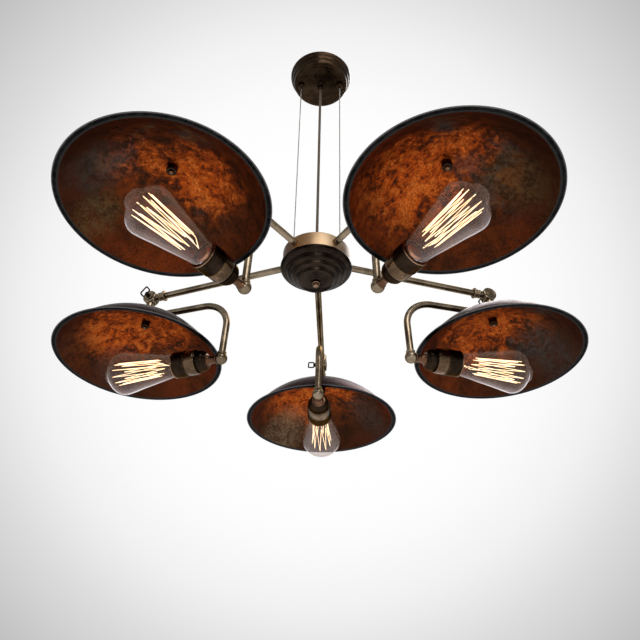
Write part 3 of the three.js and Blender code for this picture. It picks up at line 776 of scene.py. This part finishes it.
def makeRose():
    wide, narrow, steps = rose["radius"], rose["faceRadius"], rose["steps"]
    run, rise = (wide - narrow) / steps, rose["depth"] / steps
    face, wall, bush = -rose["depth"], rose["wall"], rose["bushRadius"]
    bushEnd = face - rose["bushLength"]
    profile = [
        (0, face + wall), (narrow - run / 2 - wall, face + wall), (wide - run - wall, -rise),
        (wide - run / 2 - wall, 0),
    ]
    for step in range(steps):
        outer = wide - step * run
        profile += [(outer, -step * rise), (outer - run * 0.3, -(step + 0.75) * rise)]
    profile += [
        (narrow, face), (bush, face), (bush, face - 3.2), (bush * 0.94, face - 4),
        (bush * 0.75, face - 4.6), (bush * 0.75, face - 9.5), (bush * 0.66, bushEnd), (0, bushEnd),
    ]
    holes = [moved(rod(rose["studHole"], face - 3, face + 4), x) for x in wireSides.values()]
    shape = carved("DIFFERENCE", turned(profile, 96, ease=1.1), *holes)
    addPiece("rose", shape, ["roseBronze"], "frame", "ceiling_rose", "dark_bronze")

    radius, tip, end = rose["gripRadius"], rose["gripTip"], face - rose["gripLength"]
    for side, x in wireSides.items():
        grip = turned([
            (0, face - 0.3), (radius, face - 0.3), (radius, face - 3.4), (radius * 0.9, face - 4),
            (radius, face - 4.6), (radius, face - 5.9), (tip, face - 7), (tip, end), (0, end),
        ], 48, ease=0.5)
        addPiece("grip_" + side, moved(grip, x), ["roseBronze"], "frame",
                 "rose_wire_grip_" + side, "dark_bronze")
    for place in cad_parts["ceiling_bracket"].material_slots:
        place.material = finishes["zincSteel"]


makeRose()
print("rose made")

# Hub: drum, cover and finial

hub = {
    "radius": 50,
    "height": 25.4,
    "wall": 2.5,
    "rod": 4,
    "armHole": 5.3,
    "bush": 9,
    "bushTop": 6,
    "socket": 4,
    "socketTop": 2.6,
    "lidParts": 8,      # height of the bush and the sockets over the lid
    "coverRadius": 53,
    "coverRim": 3.5,
    "coverDepth": 30,
    "coverSteps": [(0.82, 0.14), (0.79, 0.34), (0.67, 0.42), (0.64, 0.61), (0.53, 0.68),
                   (0.50, 0.87), (0.33, 0.97)],
    "dimple": 8.5,
    "dimpleDepth": 1.5,
    "clearance": 0.3,
    "finialRadius": 6,
    "finialHeight": 8,
}


def makeHub():
    top, bottom = hub["height"] / 2 - hangDrop, -hub["height"] / 2 - hangDrop
    ceiling, inner = top - hub["wall"], hub["radius"] - hub["wall"]
    clearance, shaft, bush = hub["clearance"], hub["rod"], hub["bush"]
    cover = bottom - clearance
    dimple = cover - hub["coverDepth"] + hub["dimpleDepth"]
    finial = dimple - clearance
    lidTop = top + hub["lidParts"]
    drum = turned([
        (0, finial - 4.2), (shaft, finial - 4.2), (shaft, ceiling - 6), (shaft + 3, ceiling - 5),
        (shaft + 3, ceiling), (inner, ceiling), (inner, bottom), (hub["radius"], bottom),
        (hub["radius"], top), (bush, top), (bush, top + 1.2), (hub["bushTop"], top + 1.6),
        (hub["bushTop"], top + 7), (hub["bushTop"] - 1, lidTop), (0, lidTop),
    ], 120, ease=0.8)
    socket, socketTop = hub["socket"], hub["socketTop"]
    sockets = [moved(turned([
        (0, top - 1), (socket, top - 1), (socket, top + 5), (socketTop, top + 6.2),
        (socketTop, lidTop), (0, lidTop),
    ], 40), x) for x in wireSides.values()]
    holes = []
    for n in range(lampCount):
        hole = rod(hub["armHole"], inner - 4, hub["radius"] + 4, "x")
        turn = Matrix.Rotation(azimuth(n), 4, "Z")
        hole.transform(Matrix.Translation((0, 0, -hangDrop)) @ turn)
        holes.append(hole)
    drum = carved("DIFFERENCE", carved("UNION", drum, *sockets), *holes)
    addPiece("hubDrum", drum, ["hubBrass"], "frame", "hub_drum", "antique_brass")

    wide, deep = hub["coverRadius"], hub["coverDepth"] - hub["coverRim"]
    foot, bore = cover - hub["coverRim"], shaft + clearance
    outside = [(wide, cover), (wide, foot + 1), (wide - 2, foot - deep * 0.06)]
    outside += [(wide * r, foot - deep * d) for r, d in hub["coverSteps"]]
    outside += [(hub["dimple"], foot - deep), (hub["dimple"] - 1, dimple), (bore, dimple)]
    inside = [
        (bore, dimple + 2), (wide * 0.46, foot - deep * 0.84 + 2), (inner - 2.3, cover - 2),
        (inner - 2.3, cover + 3), (inner - clearance, cover + 3), (inner - clearance, cover),
    ]
    shape = turned([*inside, *outside, inside[0]], 120, ease=1.3)
    addPiece("hubCover", shape, ["coverBronze"], "frame", "hub_cover", "dark_bronze")

    radius, tip = hub["finialRadius"], finial - hub["finialHeight"]
    knob = turned([
        (0, finial), (radius, finial), (radius, finial - 2), (radius * 0.85, finial - 2.6),
        (radius * 0.84, finial - 4.8), (radius * 0.62, finial - 6.8), (radius * 0.3, tip + 0.3),
        (0, tip),
    ], 10, ease=0.35)
    addPiece("hubFinial", knob, ["finialBrass"], "frame", "hub_finial", "antique_brass", sharp=20)


makeHub()
print("hub made")

# Lamps. Each shape is drawn with +x away from the hub and the swivel's axis at the origin.

lamp = {
    "pivot": 280,
    "restTilt": 2.5,
    "keyTurns": [-20, 40, 15, 65, 30],
    "armRadius": 5,
    "armWall": 1,
    "armFlange": 7.5,
    "armStart": 43,
    "armEnd": 254.2,
}


def armShape():
    radius, flange = lamp["armRadius"], lamp["armFlange"]
    bore, start, end = radius - lamp["armWall"], lamp["armStart"], lamp["armEnd"]
    return turned([
        (bore, start), (flange, start), (flange, start + 3), (radius, start + 3), (radius, end),
        (bore, end), (bore, start),
    ], 48, "x", 0.4)


swivel = {
    "disc": 11,
    "half": 8,
    "gap": 0.15,
    "sweep": 11.5,
    "screwHole": 2.8,
    "spigot": 3.7,
    "collar": 8.5,
    "collarAt": -25.5,
    "stem": 6,
    "block": 8,
    "blockTop": -27,
    "blockFace": -7,
    "barHole": 4.35,
    "flange": 10.5,
    "flangeTop": -42.2,
    "flangeBottom": -44.7,
    "stud": 3,
    "studEnd": -58,
}


# one of the two discs, with its raised ring and boss
def discShape(side):
    s = swivel
    disc, half = s["disc"], s["half"]
    return turned([(radius, side * height) for radius, height in (
        (0, s["gap"]), (disc, s["gap"]), (disc, half - 1), (disc - 1.6, half),
        (disc - 3.6, half + 0.1), (disc - 4.2, half - 0.4), (4.6, half - 0.3), (4.4, half + 0.5),
        (0, half + 0.5),
    )], 64, "y", 0.6)


# collar, ribbed neck and the arm's disc
def knuckleShape():
    s = swivel
    face, collar = s["collarAt"], s["collar"]
    neck = turned([
        (0, face - 10), (s["spigot"], face - 10), (s["spigot"], face), (collar - 0.8, face),
        (collar, face + 0.8), (collar, face + 2.4), (collar - 1.6, face + 3), (5.4, face + 3.8),
        (5.4, face + 4.8), (6.9, face + 5.6), (6.9, face + 6.8), (5.6, face + 7.8),
        (5.6, face + 8.8), (6.8, face + 9.6), (6.8, face + 10.8), (5.8, face + 11.8), (6.3, -5),
        (0, -5),
    ], 56, "x", 0.5)
    room = rod(s["sweep"], -s["gap"], 20, "y")
    hole = rod(s["screwHole"], -5.7, 2, "y", 32)
    return carved("DIFFERENCE", carved("UNION", neck, discShape(-1)), room, hole)


# the lamp's disc, stem, cross block, flange and stud, whose end has the second finish
def swivelShape():
    s = swivel
    stem, block, stud = s["stem"], s["block"], s["stud"]
    drop = turned([
        (0, -5), (stem, -5), (stem, -18), (stem + 0.9, -19), (stem + 0.9, -20.6), (stem, -21.6),
        (stem, s["blockTop"] + 1.8), (block, s["blockTop"]), (block, s["flangeTop"]),
        (s["flange"], s["flangeTop"]), (s["flange"], s["flangeBottom"]),
        (stud, s["flangeBottom"], 1), (stud, s["studEnd"] + 0.8), (stud - 0.8, s["studEnd"]),
        (0, s["studEnd"]),
    ], 56, "z", 0.6)
    whole = carved("UNION", drop, discShape(1))
    room = rod(s["sweep"], s["gap"], -20, "y")
    socket = moved(rod(s["barHole"], -9, -2.5, "x", 32), z=-bar["drop"])
    facing = moved(rod(bar["radius"] + 1.2, -9, s["blockFace"], "x", 32), z=-bar["drop"])
    hole = rod(s["screwHole"], -1, 20, "y", 32)
    return carved("DIFFERENCE", whole, room, hole, facing, socket)


wingKey = {
    "screw": 2.5,
    "screwEnd": -5.4,
    "seat": 8.9,
    "head": 3.6,
    "headEnd": 15.85,
    "loopHalf": 7.3,
    "loopNear": 14.65,
    "loopFar": 24.25,
    "loopRound": 2.2,
    "wire": 1.2,
}


def keyShape():
    w = wingKey
    screw, head, near, far = w["screw"], w["head"], w["loopNear"], w["loopFar"]
    shaft = turned([
        (0, w["screwEnd"]), (screw, w["screwEnd"]), (screw, w["seat"]), (head, w["seat"]),
        (head, 10.6), (head - 0.5, 11.1), (head, 11.6), (head, 14.8), (2.8, w["headEnd"]),
        (0, w["headEnd"]),
    ], 40, "y", 0.3)
    corners = [Vector((side * w["loopHalf"], y, 0))
               for side, y in ((-1, near), (-1, far), (1, far), (1, near))]
    path = []
    for i, corner in enumerate(corners):
        path += bend(corners[i - 1], corner, corners[(i + 1) % 4], w["loopRound"], 6)
    return carved("UNION", shaft, swept(path, w["wire"], 14, True))


bar = {
    "radius": 5,
    "spigot": 4,
    "start": -7.3,
    "drop": 36,
    "reach": 144,
    "bend": 44,
    "ball": 9,
    "ballFlat": 5.85,
    "throat": 6.6,
    "socket": 4.5,
    "socketDepth": 3.8,
}


# bent bar with the ball elbow at its end
def barShape():
    reach, drop, ball = bar["reach"], bar["drop"], bar["ball"]
    bendX, bendZ = bar["bend"] - reach, -drop - bar["bend"]
    path = [(x, 0, -drop) for x in (bar["start"], -30, -65)]
    for i in range(19):
        angle = math.pi / 2 * (1 + i / 18)
        path.append((bendX + bar["bend"] * math.cos(angle), 0,
                     bendZ + bar["bend"] * math.sin(angle)))
    path += [(-reach, 0, bendZ - 25), (-reach, 0, -bulbDrop)]
    tube = swept(path, bar["radius"], 40)
    spigot = moved(rod(bar["spigot"], -8, -2.9, "x", 32), z=-drop)
    bulge = [(ball * math.sin(math.pi * i / 28), ball * math.cos(math.pi * i / 28))
             for i in range(1, 28)]
    knob = turned([(0, ball), *bulge, (0, -ball)], 56, "z", 0)
    wide = bar["throat"]
    throat = turned([
        (0, 4), (wide - 0.7, 4), (wide - 0.7, 8.2), (wide, 8.6), (wide, 10.2), (wide - 1.4, 11),
        (0, 11),
    ], 40, "z", 0.4)
    centre = {"x": -reach, "z": -bulbDrop}
    whole = carved("UNION", tube, spigot, moved(knob, **centre), moved(throat, **centre))
    flat = bar["ballFlat"]
    facing = moved(rod(ball, flat, 20, "x"), **centre)
    socket = moved(rod(bar["socket"], flat - bar["socketDepth"], 20, "x", 32), **centre)
    return carved("DIFFERENCE", whole, facing, socket)


# from the foot of the bulb's glass, and with the finishes 0 nipple, 1 dark, 2 band, 3 lip
holder = {
    "profile": [
        (0, -69.3, 0), (4.2, -69.3), (4.2, -65.85), (7.1, -65.85), (7.1, -64.2), (5.7, -62.6),
        (5.5, -57), (6.6, -53.5), (7.6, -52.6), (7.6, -50.9), (10.4, -50.5, 1), (11.8, -49.4),
        (12, -48), (13.6, -47.2), (14.9, -44.8), (15.5, -41.5), (15.5, -38.4), (14, -37.6),
        (14, -36.4), (16.9, -36, 2), (17.3, -35), (17.3, -33.8), (18.3, -33.2), (18.3, -20.6),
        (17.6, -20), (17.6, -19.5), (19.2, -19.1, 1), (19.2, -1.2), (18.8, -0.8),
        (18.8, -0.3, 3), (19.3, 0.2), (19.2, 1.2), (18.2, 1.5), (17.7, 0.6), (17.7, -2.5),
        (13.4, -2.5), (13.4, -27.3), (0, -27.3),
    ],
    "screwAt": -26,
    "screw": [(0, -17.5, 3), (1.9, -17.5), (1.9, -18.7), (1.2, -19.0), (0, -19.0)],
    "screwSlot": 0.3,
    "slotAt": -19.1,
}


def holderShape():
    body = turned(holder["profile"], 96, "x", 0.5)
    screw = moved(turned(holder["screw"], 24, "z", 0.25), x=holder["screwAt"])
    slot = rod(holder["screwSlot"], -1.6, 1.6, "y", 8, 0)
    slot = moved(slot, x=holder["screwAt"], z=holder["slotAt"])
    return gathered(body, carved("DIFFERENCE", screw, slot))


bulb = {
    "capAt": -72,
    "capRadius": 13,
    "neck": 17.2,
    "belly": 32,
    "bellyAt": 87,
    "length": 118,
    "crown": 15,
    "crownDepth": 9,
    "wall": 1,
    "strands": 20,
    "strandRadius": 0.42,
    "strandBend": 2.6,
    "leadRadius": 2.9,
    "leadAt": 11.5,
    "hookRadius": 0.24,
    "cageNear": 26,
    "cageFar": 100,
    "cageNearRadius": 12,
    "cageFarRadius": 16.5,
}


def glassOutline(inset, steps):
    neck, belly, crown = [bulb[part] - inset for part in ("neck", "belly", "crown")]
    length, wide = bulb["length"], bulb["bellyAt"]
    foot, far = length - bulb["crownDepth"], length - inset
    line = smoothLine([
        (neck - 0.6, 3.5), (neck, 8.6), (neck + 2.2, 21), (neck + 4.8, 34), (neck + 7.4, 48),
        (neck + 10, 62), (belly - 2.2, 74), (belly - 0.4, wide - 3), (belly, wide + 1),
        (belly - 0.7, wide + 5.5), (belly - 2.9, wide + 10), (belly - 7.2, wide + 15),
        (crown + 4.6, foot - 3.6), (crown + 1, foot - 1), (crown - 0.8, foot + 1.4),
        (crown - 2, foot + 3.6), (crown - 4.2, foot + 6), (crown - 7.6, far - 1.4),
        (crown * 0.28, far - 0.3),
    ], steps)
    mouth = (bulb["capRadius"] + 0.2 - inset, 0.3)
    return [mouth, *[(p.x, p.y) for p in line], (0, far)]


def glassShape():
    outer, inner = glassOutline(0, 5), glassOutline(bulb["wall"], 5)
    return turned([*outer, *reversed(inner), outer[0]], 80, "x", 0)


def cagePoint(strand, radius, height):
    angle = 2 * math.pi * (strand + 0.5) / bulb["strands"]
    return Vector((height, radius * math.cos(angle), radius * math.sin(angle)))


# the end of a strand: far ends and near ends take turns
def cageHook(strand):
    end = "cageFar" if strand % 2 else "cageNear"
    return cagePoint(strand, bulb[end + "Radius"], bulb[end])


def filamentShape():
    count, lead = bulb["strands"], (bulb["leadRadius"], bulb["leadAt"])
    corners = [cagePoint(count - 1, *lead), *map(cageHook, range(count)), cagePoint(0, *lead)]
    path = [corners[0]]
    for before, corner, after in zip(corners, corners[1:], corners[2:]):
        path += bend(before, corner, after, bulb["strandBend"], 5)
        path += [corner.lerp(after, share) for share in (0.25, 0.5, 0.75)]
    path.append(corners[-1])
    return swept(path, bulb["strandRadius"], 8)


# flared glass stem with the strands' hooks, and the screw cap
def stemShape():
    far, cap = bulb["cageFar"], bulb["capRadius"]
    flare = turned([
        (0, 0.4, 3), (11.5, 0.4), (8.2, 2.2, 0), (5.4, 6), (4.4, 11), (3.6, 13.5), (1.3, 14.5),
        (1.3, far - 3.5), (2.1, far - 2), (2.1, far + 0.5), (0.8, far + 1.6), (0, far + 1.6),
    ], 32, "x", 0.5)
    hooks = []
    for strand in range(bulb["strands"]):
        root = Vector((far if strand % 2 else 13.2, 0, 0))
        tip = cageHook(strand)
        rise = Vector((2.2 if strand % 2 else -1.6, 0, 0))
        line = smoothLine([root, root.lerp(tip, 0.5) + rise, tip], 4)
        hook = swept(line, bulb["hookRadius"], 6)
        hook.polygons.foreach_set("material_index", [1] * len(hook.polygons))
        hooks.append(hook)
    screwCap = turned([
        (0, -27, 2), (4.5, -27), (10.4, -23.4), (cap, -21.5), (cap, 0), (cap - 1, 0.3), (0, 0.3),
    ], 48, "x", 0.4)
    return gathered(flare, screwCap, *hooks)


dish = {
    "radius": 127,
    "flange": 6.5,
    "top": -45,
    "depth": 67,
    "wall": 1.2,
    "seat": 13,
    "hole": 3.3,
    "rings": 26,
    "nut": 6.5,
    "nutTop": -46.5,
    "nutBottom": -55.5,
}


def dishShape():
    top, wall, hole, wide = dish["top"], dish["wall"], dish["hole"], dish["radius"]
    bowl, rim = wide - dish["flange"], top - dish["depth"]
    outside = arc((dish["seat"], top), (bowl, rim + wall), dish["rings"])
    inside = arc((dish["seat"], top - wall), (bowl - wall, rim), dish["rings"])
    return turned([
        (hole, top, 0), *outside, (wide - 0.5, rim + wall), (wide, rim + wall * 0.5, 2),
        (wide - 0.5, rim), (bowl + 0.6, rim), (bowl - 0.2, rim - 0.15), (*inside[-1], 1),
        *reversed(inside[:-1]), (hole, top - wall), (hole, top),
    ], 128, "z", 0.35)


def nutShape():
    wide, bore, top, bottom = dish["nut"], dish["hole"], dish["nutTop"], dish["nutBottom"]
    return turned([
        (bore, top), (wide, top), (wide, bottom + 0.8), (wide - 0.8, bottom), (bore, bottom),
        (bore, top),
    ], 48, "z", 0.4)


def makeLamps():
    onAxis = {"x": bulb["capAt"], "z": -bulbDrop}
    # name, node, shape, finishes by their numbers in the profile, slot
    pieces = [
        ("arm", "arm", armShape(), ["agedBrass"], "aged_brass"),
        ("knuckle", "knuckle", knuckleShape(), ["agedBrass"], "aged_brass"),
        ("wingKey", "wing_key", keyShape(), ["darkSteel"], "dark_steel"),
        ("swivel", "swivel", swivelShape(), ["agedBrass", "nippleCopper"], "aged_brass"),
        ("lampBar", "lamp_bar", barShape(), ["agedBrass"], "aged_brass"),
        ("dish", "shade", dishShape(), ["dishOutside", "dishInside", "rimSteel"], "patina_steel"),
        ("dishNut", "shade_nut", nutShape(), ["holderDark"], "dark_steel"),
        ("holder", "lamp_holder", moved(holderShape(), **onAxis),
         ["nippleCopper", "holderDark", "holderBand", "finialBrass"], "bronze_brass"),
        ("stem", "bulb_core", moved(stemShape(), **onAxis),
         ["clearGlass", "darkSteel", "hubBrass", "stemCopper"], "clear_glass"),
        ("filament", None, moved(filamentShape(), **onAxis), ["glowingFilament"], "warm_filament"),
        ("glass", "bulb_glass", moved(glassShape(), **onAxis), ["clearGlass"], "clear_glass"),
    ]
    for n in range(lampCount):
        number = "_" + str(n + 1)
        base = Matrix.Translation((0, 0, -hangDrop / 1000)) @ Matrix.Rotation(azimuth(n), 4, "Z")
        pivot = base @ Matrix.Translation((lamp["pivot"] / 1000, 0, 0))
        head = pivot @ Matrix.Rotation(math.radians(-lamp["restTilt"]), 4, "Y")
        turn = pivot @ Matrix.Rotation(math.radians(90 - lamp["keyTurns"][n]), 4, "Y")
        carriers = {
            "arm": ("frame", base), "knuckle": ("frame", pivot), "wingKey": ("key" + number, turn),
        }
        for name, node, shape, worn, slot in pieces:
            body, where = carriers.get(name, ("lamp" + number, head))
            own = [finish + number if finish == "dishInside" else finish for finish in worn]
            addPiece(name + number, shape, own, body, node and node + number, slot, where, n)


makeLamps()
print("lamps made:", lampCount)

# Studio: pale floor, pale world and four soft boxes, in metres

studio = {
    "floorHeight": -2.3,
    "floorSize": 60,
    "floorTones": [(0.79, 0.79, 0.79), (0.80, 0.80, 0.80)],
    "worldLight": 0.85,
    # grey of the backdrop by how far it lies from the middle of the view, 1 in the middle
    "backdrop": [(0.0, 0.34), (0.30, 0.32), (0.80, 0.46), (0.857, 0.535), (0.902, 0.723),
                 (0.932, 0.88), (0.963, 0.983), (0.98, 1.0)],
    "aim": (0, 0, -0.5),
    "boxes": {
        "frontBox": {"place": (0.62, -1.95, 1.0), "size": (1.6, 0.9), "power": 15},
        "lowBox": {"place": (0.30, -2.3, -0.75), "size": (1.0, 0.5), "power": 6},
        "topBox": {"place": (0.75, 1.2, 1.25), "size": (1.0, 0.9), "power": 13},
        "backBox": {"place": (0.2, 2.1, -1.2), "size": (2.6, 1.0), "power": 2},
    },
}


def makeFloor():
    half, height = studio["floorSize"] / 2, studio["floorHeight"]
    mesh = bpy.data.meshes.new("floor")
    corners = [(x * half, y * half, height) for x, y in ((-1, -1), (1, -1), (1, 1), (-1, 1))]
    mesh.from_pydata(corners, [], [(0, 1, 2, 3)])
    finish = Finish("floorPaper")
    tone = finish.noise(finish.place(), 0.002, 2)
    colour = finish.mix(tone, *studio["floorTones"])
    mesh.materials.append(finish.close(finish.shader(Base_Color=colour, Roughness=0.9)))
    newObject("floor", mesh)


# even light on the object, and the backdrop where it is seen, mirrored or looked at through glass
def makeWorld():
    finish = Finish("studio", bpy.data.worlds.new("studio"))
    direction = finish.node("TexCoord", output="Generated")
    ahead = tuple(viewAxes()[2])
    facing = finish.node("VectorMath", {"operation": "DOT_PRODUCT"}, {0: direction, 1: ahead}, 1)
    stops = [(place, (grey,) * 3) for place, grey in studio["backdrop"]]
    backdrop = finish.node("ValToRGB", {"stops": stops}, {0: facing})
    camera, glossy, through = [
        finish.node("LightPath", output="Is " + ray + " Ray")
        for ray in ("Camera", "Glossy", "Transmission")
    ]
    seen = finish.node("Clamp", None, {0: camera + glossy + through})
    colour = finish.mix(seen, (studio["worldLight"],) * 3, backdrop)
    light = finish.node("Background", None, {"Color": colour, "Strength": 1})
    bpy.context.scene.world = finish.close(light, "OutputWorld")


def makeLights():
    for name, box in studio["boxes"].items():
        data = bpy.data.lights.new(name, "AREA")
        data.shape = "RECTANGLE"
        data.size, data.size_y = box["size"]
        data.energy = box["power"]
        light = newObject(name, data)
        light.location = box["place"]
        aim = Vector(studio["aim"]) - Vector(box["place"])
        light.rotation_mode = "QUATERNION"
        light.rotation_quaternion = aim.to_track_quat("-Z", "Y")


makeFloor()
makeWorld()
makeLights()
bpy.context.scene.view_settings.view_transform = "Standard"
print("studio lit")
